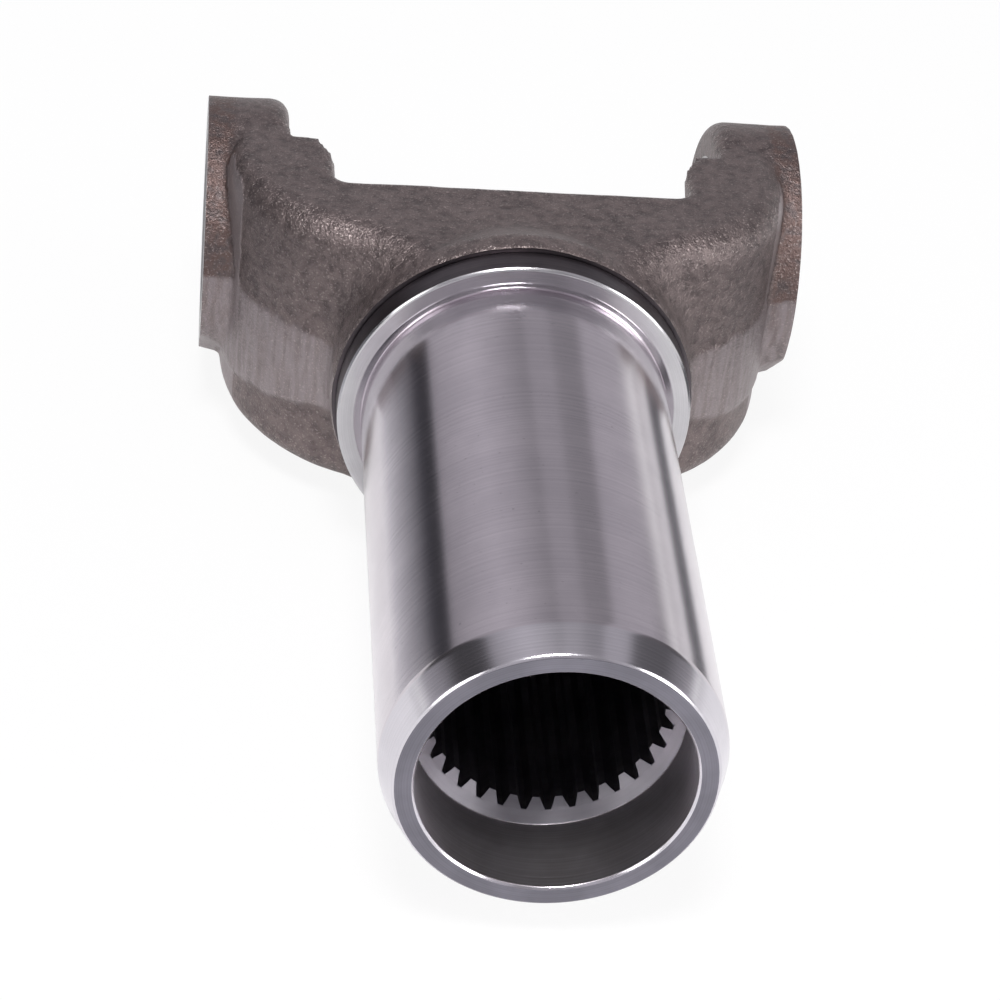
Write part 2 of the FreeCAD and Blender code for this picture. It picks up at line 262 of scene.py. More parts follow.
@dataclass(frozen=True)
class ForgedScale:
    """Shot-blasted forging: brown-grey and grainy, bright on its convex edges from wear and from a painted
    highlight, with a painted sheen on the arm flanks.
    """

    dark: tuple[float, float, float] = (0.088, 0.070, 0.070)
    base: tuple[float, float, float] = (0.200, 0.160, 0.156)
    rust: tuple[float, float, float] = (0.130, 0.082, 0.072)
    wear_and_highlight: tuple[float, float, float] = (0.50, 0.43, 0.41)
    sheared: tuple[float, float, float] = (0.30, 0.26, 0.265)
    grain_mm: float = 0.38
    pit_mm: float = 1.6

    def build(self) -> bpy.types.Material:
        """Return the material; it reads the marks land, rim, flank and edge of the mesh."""
        s = Shader("forged_scale")
        mottle = s.grain(7.0, detail=4.0, seed=1.0)
        pits = s.grain(self.pit_mm, detail=3.0, seed=2.0)
        fine = s.grain(self.grain_mm, detail=2.0, seed=3.0)
        streaks = s.grain(1.1, (1.0, 1.0, 0.12), detail=3.0, seed=4.0)
        land, rim, flank, edge = (s.mark(name) for name in ("land", "rim", "flank", "edge"))
        colour = s.tint(0.35 * mottle.over(0.30, 0.66) + 0.65 * pits.over(0.30, 0.62), self.dark, self.base)
        colour = s.tint(rim * 0.75 * pits.over(0.35, 0.6), colour, self.rust)
        # Painted sheen: the smooth arm flanks beside the bosses are lightened towards the sheared colour, standing
        # in for the light they reflect.
        colour = s.tint(flank * 0.8, colour, self.sheared)
        colour = s.tint(land * (0.45 + 0.5 * streaks.over(0.35, 0.65)), colour, self.sheared)
        # Light flecks of grain everywhere, with more on the convex edges: edge wear together with a painted
        # highlight along the rounded edges.
        colour = s.tint(fine.over(0.56, 0.68) * (0.38 + 0.62 * edge), colour, self.wear_and_highlight)
        rough = 0.38 - 0.14 * edge + 0.14 * pits
        calm = 1.0 - 0.72 * flank - 0.25 * land
        normal = s.bump(pits * calm, 0.42)
        normal = s.bump(fine * calm, 0.24, normal)
        normal = s.bump(streaks * land, 0.10, normal)
        s.metal(colour, rough, 0.72, normal)
        return s.material


@dataclass(frozen=True)
class TurnedSteel:
    """Turned or ground steel: fine lines round an axis, over a plain metal colour."""

    name: str
    colour: tuple[float, float, float]
    shade: tuple[float, float, float]
    roughness: float
    line_mm: float
    line_depth_mm: float
    axis: str = "y"
    metallic: float = 1.0
    specks: float = 0.0

    def build(self) -> bpy.types.Material:
        """Return the material."""
        s = Shader(self.name)
        x, y, z = s.axes()
        radius = (x ** 2.0 + z ** 2.0) ** 0.5
        along = y + 0.83 * radius if self.axis == "y" else (y ** 2.0 + z ** 2.0) ** 0.5 + 0.83 * x
        lines = s.node(
            "ShaderNodeTexNoise", {"noise_dimensions": "1D"},
            {"W": along / (self.line_mm * MM), "Scale": 1.0, "Detail": 3.0, "Roughness": 0.6},
        )
        cloud = s.grain(9.0, detail=3.0, seed=7.0)
        fleck = s.grain(0.5, detail=1.0, seed=8.0).over(0.70, 0.76)
        colour = s.tint(0.55 * cloud.over(0.35, 0.7) + 0.45 * lines.over(0.3, 0.7), self.shade, self.colour)
        if self.specks:
            colour = s.tint(fleck * self.specks, colour, tuple(0.3 * c for c in self.colour))
        rough = self.roughness * (0.8 + 0.4 * lines)
        s.metal(colour, rough, self.metallic, s.bump(lines, self.line_depth_mm))
        return s.material


def finish_materials() -> list[bpy.types.Material]:
    """Return one material for each finish, in the order of the slots."""
    turned = {
        Finish.FACED: TurnedSteel("faced_steel", (0.50, 0.49, 0.48), (0.36, 0.35, 0.35), 0.34, 0.30, 0.012, "x"),
        Finish.BORED: TurnedSteel("bored_steel", (0.46, 0.45, 0.45), (0.33, 0.32, 0.32), 0.32, 0.22, 0.012, "x"),
        Finish.GROUND: TurnedSteel("ground_steel", (0.72, 0.67, 0.71), (0.60, 0.56, 0.60), 0.17, 0.55, 0.0012,
                                   specks=0.35),
        Finish.COLLAR: TurnedSteel("turned_collar", (0.15, 0.13, 0.14), (0.075, 0.068, 0.075), 0.36, 0.45, 0.010),
        Finish.SHOULDER: TurnedSteel("turned_shoulder", (0.62, 0.61, 0.63), (0.50, 0.49, 0.51), 0.22, 0.25, 0.004),
        Finish.CHAMFER: TurnedSteel("turned_chamfer", (0.74, 0.71, 0.76), (0.62, 0.60, 0.64), 0.18, 0.35, 0.003),
        Finish.END_FACE: TurnedSteel("faced_end", (0.25, 0.24, 0.28), (0.16, 0.155, 0.18), 0.42, 0.22, 0.008),
        Finish.COUNTERBORE: TurnedSteel("bored_wall", (0.82, 0.78, 0.82), (0.60, 0.56, 0.58), 0.36, 0.32, 0.010),
        Finish.SPLINE: TurnedSteel("broached_steel", (0.23, 0.22, 0.24), (0.13, 0.125, 0.14), 0.42, 0.30, 0.012),
        Finish.PRESSED: TurnedSteel("pressed_steel", (0.50, 0.50, 0.51), (0.38, 0.38, 0.39), 0.38, 0.60, 0.004),
    }
    return [turned[f].build() if f in turned else ForgedScale().build() for f in Finish]


# ---------------------------------------------------------------- mesh helpers


def new_piece(name: str, mesh: bpy.types.Mesh, materials: Sequence[bpy.types.Material]) -> bpy.types.Object:
    """Return a linked object for a mesh with every finish in its slots."""
    for material in materials:
        mesh.materials.append(material)
    piece = bpy.data.objects.new(name, mesh)
    bpy.context.scene.collection.objects.link(piece)
    return piece


def rounded(points: Sequence[tuple[float, float, float]], steps: int = 3) -> list[tuple[float, float]]:
    """Return an open profile whose inner corners are rounded.

    Args:
        points: (radius, place, corner radius) of each corner, in millimetres.
        steps: pieces of each arc.

    Returns:
        The (radius, place) points, with support points beside every arc.
    """
    made: list[tuple[float, float]] = [points[0][:2]]
    for before, here, after in zip(points, points[1:], points[2:]):
        corner = Vector(here[:2])
        back = Vector(before[:2]) - corner
        ahead = Vector(after[:2]) - corner
        room = min(here[2], 0.45 * back.length, 0.45 * ahead.length)
        if room <= 0.0:
            made.append(here[:2])
            continue
        back.normalize()
        ahead.normalize()
        first = corner + back * room
        last = corner + ahead * room
        made.append(tuple(first + back * 0.1 * room))
        for step in range(steps + 1):
            t = step / steps
            made.append(tuple(first * (1 - t) ** 2 + corner * 2 * t * (1 - t) + last * t ** 2))
        made.append(tuple(last + ahead * 0.1 * room))
    made.append(points[-1][:2])
    return made


def revolve(profile: Sequence[tuple[float, float]], finish: Callable[[float, float], Finish], segments: int,
            axis: str = "Y") -> bmesh.types.BMesh:
    """Return a closed surface of revolution from an open profile whose ends may lie on the axis.

    Args:
        profile: (radius, place along the axis) points, in millimetres, with the solid on one side. A
            profile that doesn't end on the axis is closed on itself.
        finish: gives a face's finish from the middle of its span.
        segments: faces round the axis.
        axis: Y or X.

    Returns:
        The surface, with outward normals and smooth faces.
    """
    made = bmesh.new()
    rings: list[list[bmesh.types.BMVert]] = []
    for radius, place in profile:
        ring = []
        for step in range(1 if radius < 1e-6 else segments):
            angle = 2 * math.pi * step / segments
            across, up = radius * math.cos(angle), radius * math.sin(angle)
            at = (across, place, up) if axis == "Y" else (place, across, up)
            ring.append(made.verts.new(Vector(at) * MM))
        rings.append(ring)
    closed = len(rings[0]) > 1
    pairs = list(zip(rings, rings[1:] + rings[:1]))[:len(rings) if closed else len(rings) - 1]
    spans = list(zip(profile, list(profile[1:]) + [profile[0]]))
    for (one, two), (a, b) in zip(pairs, spans):
        slot = finish((a[0] + b[0]) / 2, (a[1] + b[1]) / 2).value
        for step in range(segments):
            after = step + 1
            loop = [one[step % len(one)], one[after % len(one)], two[after % len(two)], two[step % len(two)]]
            corners = list(dict.fromkeys(loop))
            if len(corners) > 2:
                face = made.faces.new(corners)
                face.material_index = slot
                face.smooth = True
    bmesh.ops.recalc_face_normals(made, faces=made.faces)
    return made


def to_mesh(name: str, made: bmesh.types.BMesh, sharp_deg: float = 40.0) -> bpy.types.Mesh:
    """Return a mesh from a bmesh, smooth but for edges sharper than an angle."""
    for edge in made.edges:
        if edge.is_manifold:
            edge.smooth = edge.calc_face_angle(0.0) < math.radians(sharp_deg)
    mesh = bpy.data.meshes.new(name)
    made.to_mesh(mesh)
    made.free()
    return mesh


def applied(piece: bpy.types.Object) -> bpy.types.Object:
    """Replace a piece's mesh by its evaluated one and drop its modifiers."""
    graph = bpy.context.evaluated_depsgraph_get()
    mesh = bpy.data.meshes.new_from_object(piece.evaluated_get(graph))
    piece.modifiers.clear()
    piece.data = mesh
    return piece


def cut(piece: bpy.types.Object, tool: bpy.types.Object, operation: str = "DIFFERENCE") -> None:
    """Cut a tool out of a piece, or join it, with the tool's finishes on the new faces."""
    change = piece.modifiers.new("cut", "BOOLEAN")
    change.object = tool
    change.operation = operation
    change.solver = "EXACT"
    change.material_mode = "TRANSFER"
    applied(piece)
    bpy.data.objects.remove(tool)


# ---------------------------------------------------------------- the fork


@dataclass
class Fork:
    """The forged fork: remeshed from the frame so that its edges soften, then machined again."""

    materials: list[bpy.types.Material]
    ear_face: float = 48.8
    ear_radius: float = 21.4
    ear_inner: float = 35.4
    cap_radius: float = 15.08
    cap_chamfer: float = 0.6
    proud: float = 0.8
    cap_filler: float = 17.2
    throat_filler: float = 19.9
    core_filler: float = 20.6
    core_start: float = -32.0
    ring_place: float = 46.04
    ring_width: float = 1.6
    ring_depth: float = 0.8
    spot_radius: float = 22.35
    pocket_half: float = 28.5
    floor_place: float = -21.7
    seat_place: float = -25.9
    seat_radius: float = 19.05
    collar_place: float = -48.7
    core_radius: float = 22.0
    arm_half: float = 45.4
    land_top: float = 3.2
    land_bottom: float = -14.0
    land_slope: float = 0.287
    shear_way: Vector = field(default_factory=lambda: Vector((0.0, -0.66, -0.751)))
    tip_round: float = 3.0
    flare: float = 4.2
    voxel_mm: float = 0.62

    def blank(self) -> bpy.types.Object:
        """Return the forging before machining: the frame's mesh with its ear faces moved out proud."""
        made = bmesh.new()
        made.from_mesh(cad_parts["slip_yoke"].data)
        bmesh.ops.remove_doubles(made, verts=made.verts, dist=2e-6)
        for vert in made.verts:
            if abs(vert.co.x) > (self.ear_face - 0.05) * MM:
                vert.co.x += math.copysign(self.proud * MM, vert.co.x)
        return new_piece("fork_blank", to_mesh("fork_blank", made), self.materials)

    def filler(self) -> bpy.types.Object:
        """Return closed plugs that fill every bore of the fork and stand proud of its faces."""
        made = bmesh.new()
        for side in (1, -1):
            ends = (side * (self.ear_inner - 0.7), side * (self.ear_face + self.proud))
            self._add(made, [(0, ends[0]), (self.cap_filler, ends[0]), (self.cap_filler, ends[1]), (0, ends[1])],
                      "X")
        front, back = self.floor_place - 0.4, self.collar_place - 1.0
        self._add(made, [(0, front), (self.throat_filler, front), (self.core_filler, self.core_start),
                         (self.core_filler, back), (0, back)], "Y")
        return new_piece("filler", to_mesh("filler", made), self.materials)

    @staticmethod
    def _add(into: bmesh.types.BMesh, profile: Sequence[tuple[float, float]], axis: str,
             finish: Finish = Finish.FORGED, segments: int = 160) -> None:
        """Add one turned solid to a mesh of separate solids."""
        part = revolve(profile, lambda r, p: finish, segments, axis)
        spare = bpy.data.meshes.new("spare")
        part.to_mesh(spare)
        part.free()
        into.from_mesh(spare)
        bpy.data.meshes.remove(spare)

    def tools(self) -> list[bpy.types.Object]:
        """Return the cutting tools, in the order of their use."""
        sets: list[tuple[str, list[tuple[list[tuple[float, float]], str, Finish]]]] = []
        far, reach, clear, end = self.ear_face + 6.0, 60.0, 90.0, -160.0
        faces = []
        for side in (1, -1):
            faces.append(([(0, side * self.ear_face), (reach, side * self.ear_face), (reach, side * far),
                           (0, side * far)], "X", Finish.FACED))
        faces.append(([(0, self.collar_place), (clear, self.collar_place), (clear, end), (0, end)], "Y",
                      Finish.COLLAR))
        sets.append(("facing_tool", faces))
        spots = []
        rim, low = self.spot_radius + self.flare, self.pocket_half - 1.0
        curve = [(rim - self.flare * math.sin(t), low + self.flare * (1 - math.cos(t)))
                 for t in (math.pi / 2 * step / 8 for step in range(9))]
        steps = [(0, 24.0), (rim + 2.0, 24.0), (rim + 2.0, low - 0.6), *curve,
                 (self.spot_radius, self.ear_inner + 0.12), (0, self.ear_inner + 0.12)]
        for side in (1, -1):
            spots.append(([(r, side * p) for r, p in steps], "X", Finish.FORGED))
        sets.append(("spot_tool", spots))
        bores = []
        for side in (1, -1):
            ring = self.ring_place
            inner, outer = self.ear_inner, self.ear_face
            r, c, d = self.cap_radius, self.cap_chamfer, self.ring_depth
            steps = [(0, inner - 4), (r + c + 4, inner - 4), (r, inner + c), (r, ring), (r + d, ring),
                     (r + d, ring + self.ring_width), (r, ring + self.ring_width), (r, outer - c),
                     (r + c + 3, outer + 3), (0, outer + 3)]
            bores.append(([(q, side * p) for q, p in steps], "X", Finish.BORED))
        seat = [(0, self.seat_place), (self.seat_radius, self.seat_place),
                (self.seat_radius, self.floor_place - 0.4),
                (self.seat_radius + 3.4, self.floor_place + 3.0), (0, self.floor_place + 3.0)]
        bores.append((seat, "Y", Finish.BORED))
        hole = [(0, self.seat_place + 1.0), (17.7, self.seat_place + 1.0), (17.7, self.seat_place - 4.0),
                (self.core_radius, self.seat_place - 6.0), (self.core_radius, self.collar_place - 4.0),
                (0, self.collar_place - 4.0)]
        sets.append(("bore_tool", bores))
        sets.append(("core_tool", [(hole, "Y", Finish.BORED)]))
        made_tools = []
        for name, solids in sets:
            made = bmesh.new()
            for profile, axis, finish in solids:
                self._add(made, profile, axis, finish)
            for face in made.faces:
                face.smooth = True
            made_tools.append(new_piece(name, to_mesh(name, made), self.materials))
        return made_tools

    def soften(self, piece: bpy.types.Object) -> None:
        """Remesh the blank evenly, relax its edges and give the skin the slight waves of a forging."""
        change = piece.modifiers.new("skin", "REMESH")
        change.mode = "VOXEL"
        change.voxel_size = self.voxel_mm * MM
        change.adaptivity = 0.0
        change.use_smooth_shade = True
        relax = piece.modifiers.new("relax", "SMOOTH")
        relax.factor = 0.5
        relax.iterations = 3
        applied(piece)
        for vert, normal in zip(piece.data.vertices, [v.normal.copy() for v in piece.data.vertices]):
            wave = noise.noise(vert.co * 120.0) * 0.10 + noise.noise(vert.co * 420.0) * 0.045
            vert.co += normal * wave * MM

    def round_tips(self, mesh: bpy.types.Mesh) -> None:
        """Round the inner rim of each ear's free tip, as the die leaves it."""
        span = self.tip_round
        inner, rim = self.ear_inner + span, self.ear_radius - span
        for vert in mesh.vertices:
            x, y, z = (c / MM for c in vert.co)
            radius = math.hypot(y, z)
            into, out = inner - abs(x), radius - rim
            reach = math.hypot(into, out)
            if y < -3.0 or into <= 0.0 or out <= 0.0 or into > span + 0.4 or reach <= span:
                continue
            into, out = into * span / reach, out * span / reach
            grow = (rim + out) / radius
            vert.co = Vector((math.copysign(inner - into, x), y * grow, z * grow)) * MM

    def marks(self, mesh: bpy.types.Mesh) -> None:
        """Store where the land, the boss rims, the arm flanks, whose colour gets a painted sheen, and the rounded
        edges are.
        """
        values: dict[str, list[float]] = {name: [] for name in ("land", "rim", "flank", "edge")}
        bend = self._bend(mesh)
        for index, vert in enumerate(mesh.vertices):
            x, y, z = (c / MM for c in vert.co)
            wobble = noise.noise(Vector((x, y, z)) * 0.35) * 0.9
            top = self.land_top + wobble
            bottom = self.land_bottom + (self.arm_half - abs(x)) * self.land_slope + wobble
            behind = y < -8.0 and abs(x) > 24.0
            outward = math.hypot(vert.normal.x, vert.normal.y)
            land = self._step(top - z, 0.5) * self._step(z - bottom, 0.5) * (outward > 0.75) * behind
            rim = self._step(abs(x) - 44.4, 0.5) * (math.hypot(y, z) > 18.5)
            # The arm flank mark calms the bump there and paints a lighter sheen into the flank's colour.
            flank = self._step(45.9 - abs(x), 0.4) * (abs(vert.normal.x) > 0.8) * (abs(x) > 43.0)
            sheared = vert.normal.dot(self.shear_way) > 0.85 and abs(x) > 43.5 and behind
            seam = math.exp(-((z - bottom) / 0.45) ** 2) * (outward > 0.6) * behind * (abs(x) < 45.0)
            values["land"].append(max(land, 1.0 * sheared, 0.9 * seam))
            values["rim"].append(rim * (y > -22.0) * (1.0 - sheared) * self._step(z + 4.0, 6.0))
            values["flank"].append(flank * (1.0 - land))
            values["edge"].append(bend[index])
        for name, numbers in values.items():
            mesh.attributes.new(name, "FLOAT", "POINT").data.foreach_set("value", numbers)

    @staticmethod
    def _step(distance: float, width: float) -> float:
        """Return 0 to 1 across a line, over a width."""
        return min(1.0, max(0.0, 0.5 + distance / width))

    @staticmethod
    def _bend(mesh: bpy.types.Mesh) -> list[float]:
        """Return how much the surface bulges at each point, from 0 to 1."""
        total = [0.0] * len(mesh.vertices)
        for edge in mesh.edges:
            a, b = (mesh.vertices[i] for i in edge.vertices)
            along = b.co - a.co
            if along.length > 1e-6:
                bulge = (b.normal - a.normal).dot(along) / along.length_squared * MM
                total[a.index] += bulge
                total[b.index] += bulge
        return [min(1.0, max(0.0, value * 0.9 - 0.12)) for value in total]

    def build(self) -> bpy.types.Object:
        """Return the finished fork."""
        piece = self.blank()
        cut(piece, self.filler(), "UNION")
        self.soften(piece)
        self.round_tips(piece.data)
        self.marks(piece.data)
        for tool in self.tools():
            cut(piece, tool)
        piece.name = "forged_fork"
        made = bmesh.new()
        made.from_mesh(piece.data)
        bmesh.ops.remove_doubles(made, verts=made.verts, dist=1e-6)
        piece.data = to_mesh("forged_fork", made)
        for material in self.materials:
            piece.data.materials.append(material)
        return piece


# ---------------------------------------------------------------- the barrel


@dataclass
class Barrel:
    """Turned collar, ground barrel, counterbore and splined bore."""

    materials: list[bpy.types.Material]
    collar_place: float = -48.7
    collar_radius: float = 27.65
    shoulder_place: float = -53.3
    relief_width: float = 1.0
    relief_depth: float = 0.6
    relief_sink: float = 0.25
    relief_length: float = 1.4
    radius: float = 23.94
    mouth: float = -138.7
    lead_length: float = 5.2
    lead_depth: float = 1.7
    edge_break: float = 0.4
    counterbore_radius: float = 19.15
    counterbore_depth: float = 13.0
    tip_radius: float = 16.404
    root_radius: float = 17.648
    seat_place: float = -25.9
    core_radius: float = 21.9
    teeth: int = 32
    module: float = 25.4 / 24.0
    pressure_deg: float = 30.0
    sunk: float = 0.25
    segments: int = 288

    def shell(self) -> bpy.types.Object:
        """Return the barrel as one closed turned shell, open through its bore."""
        lead = self.radius - self.lead_depth
        brk = self.edge_break
        cone = self.mouth + self.counterbore_depth
        cone_end = cone + self.counterbore_radius - self.root_radius
        inside = self.seat_place - 6.2
        corners = [
            (self.core_radius, inside, 0.0),
            (self.core_radius, self.collar_place + 0.4, 0.0),
            (self.collar_radius - 0.6, self.collar_place + 0.4, 0.0),
            (self.collar_radius, self.collar_place - 0.2, 0.2),
            (self.collar_radius, self.shoulder_place + brk, 0.16),
            (self.collar_radius - brk, self.shoulder_place, 0.16),
            (self.radius + self.relief_width, self.shoulder_place, 0.15),
            (self.radius - self.relief_sink, self.shoulder_place + self.relief_depth, 0.3),
            (self.radius, self.shoulder_place - self.relief_length, 0.2),
            (self.radius, self.mouth + self.lead_length, 0.5),
            (lead, self.mouth + brk, 0.2),
            (lead - brk, self.mouth, 0.2),
            (self.counterbore_radius + brk, self.mouth, 0.15),
            (self.counterbore_radius, self.mouth + brk, 0.15),
            (self.counterbore_radius, cone, 0.2),
            (self.root_radius, cone_end, 0.15),
            (self.root_radius, self.seat_place, 0.0),
            (self.root_radius + 0.02, inside, 0.0),
        ]
        made = revolve(rounded(corners), self._finish, self.segments)
        return new_piece("turned_barrel", to_mesh("turned_barrel", made), self.materials)

    def _finish(self, radius: float, place: float) -> Finish:
        """Return the finish at a place on the barrel's section."""
        inner = self.counterbore_radius + 0.1
        if place > self.shoulder_place + 0.7:
            return Finish.COLLAR if radius > self.root_radius + 0.5 else Finish.SPLINE
        if radius < inner:
            if place < self.mouth + self.edge_break:
                return Finish.CHAMFER
            cone = self.mouth + self.counterbore_depth
            return Finish.COUNTERBORE if place < cone + 0.05 else Finish.SPLINE
        if radius > self.radius + 0.2:
            rim = radius > self.collar_radius - 0.1 and place > self.shoulder_place + self.edge_break
            return Finish.COLLAR if rim else Finish.SHOULDER
        if place < self.mouth + 0.05:
            return Finish.END_FACE
        if place < self.mouth + self.lead_length:
            return Finish.CHAMFER
        return Finish.GROUND

    def tooth(self) -> bpy.types.Object:
        """Return one spline tooth along the bore, with its lead-in cone, its root sunk in the wall."""
        pressure = math.radians(self.pressure_deg)
        pitch_radius = self.teeth * self.module / 2
        base = pitch_radius * math.cos(pressure)
        steps = 4
        half = []
        for step in range(steps + 1):
            radius = self.tip_radius + (self.root_radius - self.tip_radius) * step / steps
            turn = math.acos(base / radius)
            space = math.pi / (2 * self.teeth) + math.tan(pressure) - pressure - (math.tan(turn) - turn)
            half.append((radius, math.pi / self.teeth - space))
        half.append((self.root_radius + self.sunk, half[-1][1] + 0.004))
        outline = [(r, a) for r, a in half] + [(r, -a) for r, a in reversed(half)]
        cone = self.mouth + self.counterbore_depth
        made = bmesh.new()
        rows = []
        for end in (0, 1):
            row = []
            for radius, angle in outline:
                lead = cone + (self.counterbore_radius - radius) + 0.03
                place = lead if end == 0 else self.seat_place - 0.05
                at = Vector((radius * math.sin(angle), place, radius * math.cos(angle)))
                row.append(made.verts.new(at * MM))
            rows.append(row)
        count = len(outline)
        for i in range(count):
            j = (i + 1) % count
            made.faces.new((rows[0][i], rows[0][j], rows[1][j], rows[1][i]))
        made.faces.new(rows[0])
        made.faces.new(rows[1])
        bmesh.ops.recalc_face_normals(made, faces=made.faces)
        for face in made.faces:
            face.material_index = Finish.SPLINE.value
        return new_piece("spline_teeth", to_mesh("spline_teeth", made), self.materials)

    def tooth_tree(self) -> bpy.types.NodeTree:
        """Return the node tree that sets a tooth round the barrel's axis as many times as asked."""
        tree = bpy.data.node_groups.new("teeth_round_axis", "GeometryNodeTree")
        face = tree.interface
        face.new_socket("Geometry", in_out="INPUT", socket_type="NodeSocketGeometry")
        count = face.new_socket("Teeth", in_out="INPUT", socket_type="NodeSocketInt")
        count.default_value = self.teeth
        face.new_socket("Material", in_out="INPUT", socket_type="NodeSocketMaterial")
        face.new_socket("Geometry", in_out="OUTPUT", socket_type="NodeSocketGeometry")
        node, link = tree.nodes.new, tree.links.new
        start, end = node("NodeGroupInput"), node("NodeGroupOutput")
        points = node("GeometryNodePoints")
        link(start.outputs["Teeth"], points.inputs["Count"])
        index = node("GeometryNodeInputIndex")
        share = node("ShaderNodeMath")
        share.operation = "DIVIDE"
        link(index.outputs[0], share.inputs[0])
        link(start.outputs["Teeth"], share.inputs[1])
        turn = node("ShaderNodeMath")
        turn.operation = "MULTIPLY"
        turn.inputs[1].default_value = 2 * math.pi
        link(share.outputs[0], turn.inputs[0])
        about = node("ShaderNodeCombineXYZ")
        link(turn.outputs[0], about.inputs["Y"])
        copies = node("GeometryNodeInstanceOnPoints")
        link(points.outputs[0], copies.inputs["Points"])
        link(start.outputs["Geometry"], copies.inputs["Instance"])
        link(about.outputs[0], copies.inputs["Rotation"])
        real = node("GeometryNodeRealizeInstances")
        link(copies.outputs[0], real.inputs[0])
        dress = node("GeometryNodeSetMaterial")
        link(real.outputs[0], dress.inputs["Geometry"])
        link(start.outputs["Material"], dress.inputs["Material"])
        link(dress.outputs[0], end.inputs[0])
        return tree

    def teeth_round(self) -> bpy.types.Object:
        """Return every spline tooth as one mesh."""
        piece = self.tooth()
        change = piece.modifiers.new("round", "NODES")
        change.node_group = self.tooth_tree()
        names = {item.name: item.identifier for item in change.node_group.interface.items_tree
                 if item.in_out == "INPUT"}
        change[names["Teeth"]] = self.teeth
        change[names["Material"]] = self.materials[Finish.SPLINE.value]
        return applied(piece)

    def build(self) -> list[bpy.types.Object]:
        """Return the barrel's pieces."""
        return [self.shell(), self.teeth_round()]


@dataclass
class Plug:
    """Pressed disc that closes the spline at the fork's floor."""

    materials: list[bpy.types.Material]
    radius: float = 19.0
    thickness: float = 2.0
    crown: float = 2.6
    flat_radius: float = 8.0
    seat_place: float = -25.88

    def build(self) -> bpy.types.Object:
        """Return the dished disc."""
        low, high = self.seat_place, self.seat_place + self.thickness
        corners = [(0, high + self.crown - 0.02, 0), (self.flat_radius, high + self.crown - 0.02, 3.0),
                   (self.radius, high, 0.5), (self.radius, low, 0.2),
                   (self.radius - self.thickness, low, 0.5), (self.flat_radius, low + self.crown, 3.0),
                   (0, low + self.crown, 0)]
        made = revolve(rounded(corners, 6), lambda r, p: Finish.PRESSED, 128)
        return new_piece("pressed_plug", to_mesh("pressed_plug", made), self.materials)


# ---------------------------------------------------------------- the studio


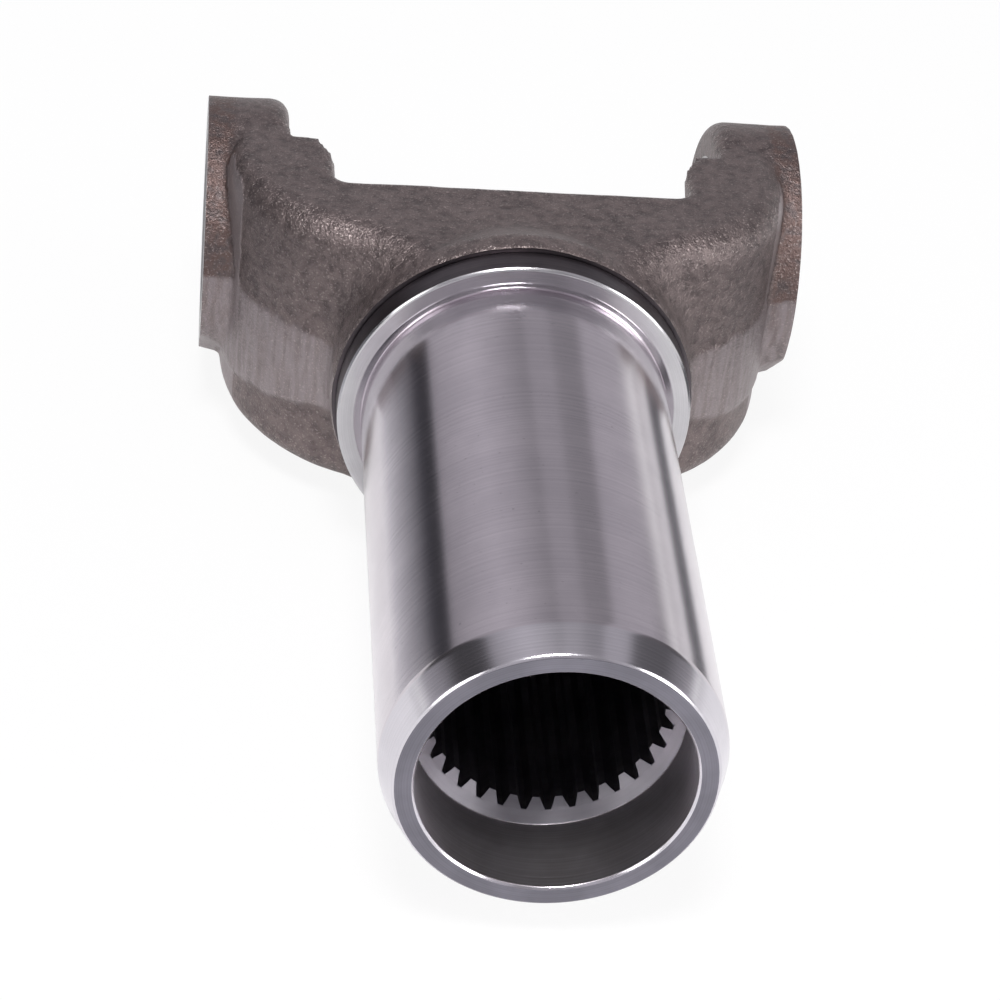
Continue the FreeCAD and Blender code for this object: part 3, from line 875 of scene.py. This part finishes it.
@dataclass
class Studio:
    """Floor, lights, world and camera."""

    floor_size: float = 4.0
    target: tuple[float, float, float] = (0.0, -0.05, 0.0)
    aim: tuple[float, float, float] = (-3.60, -74.86, 0.0)
    azimuth: float = -7.669
    elevation: float = 36.076
    roll: float = 6.76
    distance: float = 471.95
    lens: float = 113.14
    lamps: list[tuple[str, tuple[float, float, float], float, float]] = field(default_factory=lambda: [
        ("overhead", (-0.10, -0.42, 0.95), 0.30, 8.0),
        ("left_box", (-0.9, -0.6, 0.40), 0.6, 3.0),
        ("right_box", (0.95, -0.55, 0.40), 0.6, 5.5),
    ])

    def floor(self) -> bpy.types.Object:
        """Return the pale floor, level under the yoke."""
        mesh = bpy.data.meshes.new("floor")
        half = self.floor_size / 2
        low = CAD_BOX[0].z
        corners = [Vector((x * half, y * half, low)) for x, y in ((-1, -1), (1, -1), (1, 1), (-1, 1))]
        mesh.from_pydata(corners, [], [(0, 1, 2, 3)])
        shader = Shader("pale_floor")
        path = shader.node("ShaderNodeLightPath", {}, {}, "Is Camera Ray")
        glossy = Wire(shader, path.socket.node.outputs["Is Glossy Ray"])
        matt = shader.node("ShaderNodeBsdfDiffuse", {}, {"Color": (0.86, 0.86, 0.86, 1.0)})
        white = shader.node("ShaderNodeEmission", {}, {"Color": (1, 1, 1, 1), "Strength": 1.0})
        shown = shader.node("ShaderNodeMixShader", {}, {0: path * 0.9 + glossy * 0.35, 1: matt, 2: white})
        shader.close(shown)
        mesh.materials.append(shader.material)
        plane = bpy.data.objects.new("floor", mesh)
        bpy.context.scene.collection.objects.link(plane)
        return plane

    def flag(self, name: str, low: tuple[float, float, float], high: tuple[float, float, float],
             stops: list[tuple[float, tuple[float, float, float]]]) -> None:
        """Stand a dark card beside the fork, seen only in the metal's reflections.

        Args:
            name: the card's name.
            low: its lower corner nearest the mouth, in millimetres.
            high: its opposite corner, at the same x.
            stops: its colour from the lower edge, 0, to the upper one, 1.
        """
        mesh = bpy.data.meshes.new(name)
        corners = [(low[0], y, z) for y, z in ((low[1], low[2]), (high[1], low[2]), (high[1], high[2]),
                                              (low[1], high[2]))]
        mesh.from_pydata([Vector(c) * MM for c in corners], [], [(0, 1, 2, 3)])
        shader = Shader(name)
        height = (shader.axes()[2] - low[2] * MM) / ((high[2] - low[2]) * MM)
        tone = shader.node("ShaderNodeValToRGB", {"stops": stops}, {0: height})
        shader.close(shader.node("ShaderNodeEmission", {}, {"Color": tone, "Strength": 1.0}))
        mesh.materials.append(shader.material)
        card = bpy.data.objects.new(name, mesh)
        card.visible_camera = False
        card.visible_diffuse = False
        card.visible_transmission = False
        card.visible_shadow = False
        bpy.context.scene.collection.objects.link(card)

    def world(self) -> None:
        """Set a studio round the yoke: white at the horizon and in bands of grey from side to side above."""
        world = bpy.data.worlds.new("studio")
        world.use_nodes = True
        bpy.context.scene.world = world
        shader = Shader("studio", world.node_tree)
        way = shader.node("ShaderNodeTexCoord", {}, {}, "Generated")
        split = shader.node("ShaderNodeSeparateXYZ", {}, {0: way}).socket.node
        across, up = Wire(shader, split.outputs[0]), Wire(shader, split.outputs[2])
        tones = [(-0.95, 0.45), (-0.85, 0.05), (-0.66, 0.06), (-0.60, 0.36), (-0.45, 0.50), (-0.34, 0.56),
                 (-0.18, 0.46), (-0.02, 0.33), (0.02, 0.31), (0.05, 0.40), (0.20, 0.40), (0.24, 0.31),
                 (0.39, 0.28), (0.42, 0.48), (0.60, 0.50), (0.66, 0.14), (0.85, 0.12), (0.95, 0.45)]
        roof = shader.node("ShaderNodeValToRGB",
                           {"stops": [((x + 1) / 2, (t, 0.97 * t, 1.04 * t)) for x, t in tones]},
                           {0: (across + 1.0) / 2.0})
        glow = shader.tint(up.over(0.02, 0.14), (1.0, 1.0, 1.0), roof)
        shader.close(shader.node("ShaderNodeBackground", {}, {"Color": glow, "Strength": 0.95}),
                     "ShaderNodeOutputWorld")

    def light(self) -> None:
        """Hang the soft boxes, each turned to the yoke."""
        for name, place, size, power in self.lamps:
            data = bpy.data.lights.new(name, "AREA")
            data.shape = "DISK"
            data.size = size
            data.energy = power
            lamp = bpy.data.objects.new(name, data)
            lamp.location = place
            lamp.rotation_euler = (Vector(self.target) - Vector(place)).to_track_quat("-Z", "Y").to_euler()
            bpy.context.scene.collection.objects.link(lamp)

    def camera(self) -> None:
        """Set the camera above the mouth of the barrel."""
        a, e = math.radians(self.azimuth), math.radians(self.elevation)
        back = Vector((math.sin(a) * math.cos(e), -math.cos(a) * math.cos(e), math.sin(e)))
        data = bpy.data.cameras.new("camera")
        data.lens = self.lens
        data.sensor_width = 36.0
        data.clip_start = 0.01
        data.clip_end = 50.0
        eye = bpy.data.objects.new("camera", data)
        eye.rotation_mode = "QUATERNION"
        eye.location = (Vector(self.aim) + back * self.distance) * MM
        level = (-back).to_track_quat("-Z", "Y")
        turn = Matrix.Rotation(math.radians(self.roll), 4, "Z").to_quaternion()
        eye.rotation_quaternion = level @ turn
        bpy.context.scene.collection.objects.link(eye)
        bpy.context.scene.camera = eye

    def build(self) -> None:
        """Set up the whole studio."""
        bpy.context.scene.view_settings.view_transform = "Standard"
        self.floor()
        self.flag("left_flag", (-66.0, -80.0, -26.0), (-66.0, 60.0, 35.0),
                  [(0.0, (0.9, 0.9, 0.92)), (0.2, (0.62, 0.62, 0.65)), (0.55, (0.28, 0.28, 0.30)),
                   (0.76, (0.06, 0.06, 0.07)), (0.9, (0.035, 0.035, 0.04)), (1.0, (0.08, 0.08, 0.09))])
        self.flag("right_flag", (66.0, -80.0, -15.0), (66.0, 60.0, 4.0),
                  [(0.0, (0.3, 0.3, 0.32)), (0.35, (0.12, 0.12, 0.13)), (0.75, (0.12, 0.12, 0.13)),
                   (1.0, (0.3, 0.3, 0.32))])
        self.world()
        self.light()
        self.camera()


def main() -> None:
    """Build every piece, seat it on the frame and report it."""
    logging.basicConfig(level=logging.INFO, format="%(name)s: %(message)s")
    materials = finish_materials()
    pieces = [Fork(materials).build(), *Barrel(materials).build()]
    for piece in pieces:
        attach(piece, "root")
        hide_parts("slip_yoke")
    plug = Plug(materials).build()
    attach(plug, "root")
    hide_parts("core_plug")
    for piece in [*pieces, plug]:
        LOG.info("%s: %d faces", piece.name, len(piece.data.polygons))
    Studio().build()


if __name__ == "__main__":
    main()
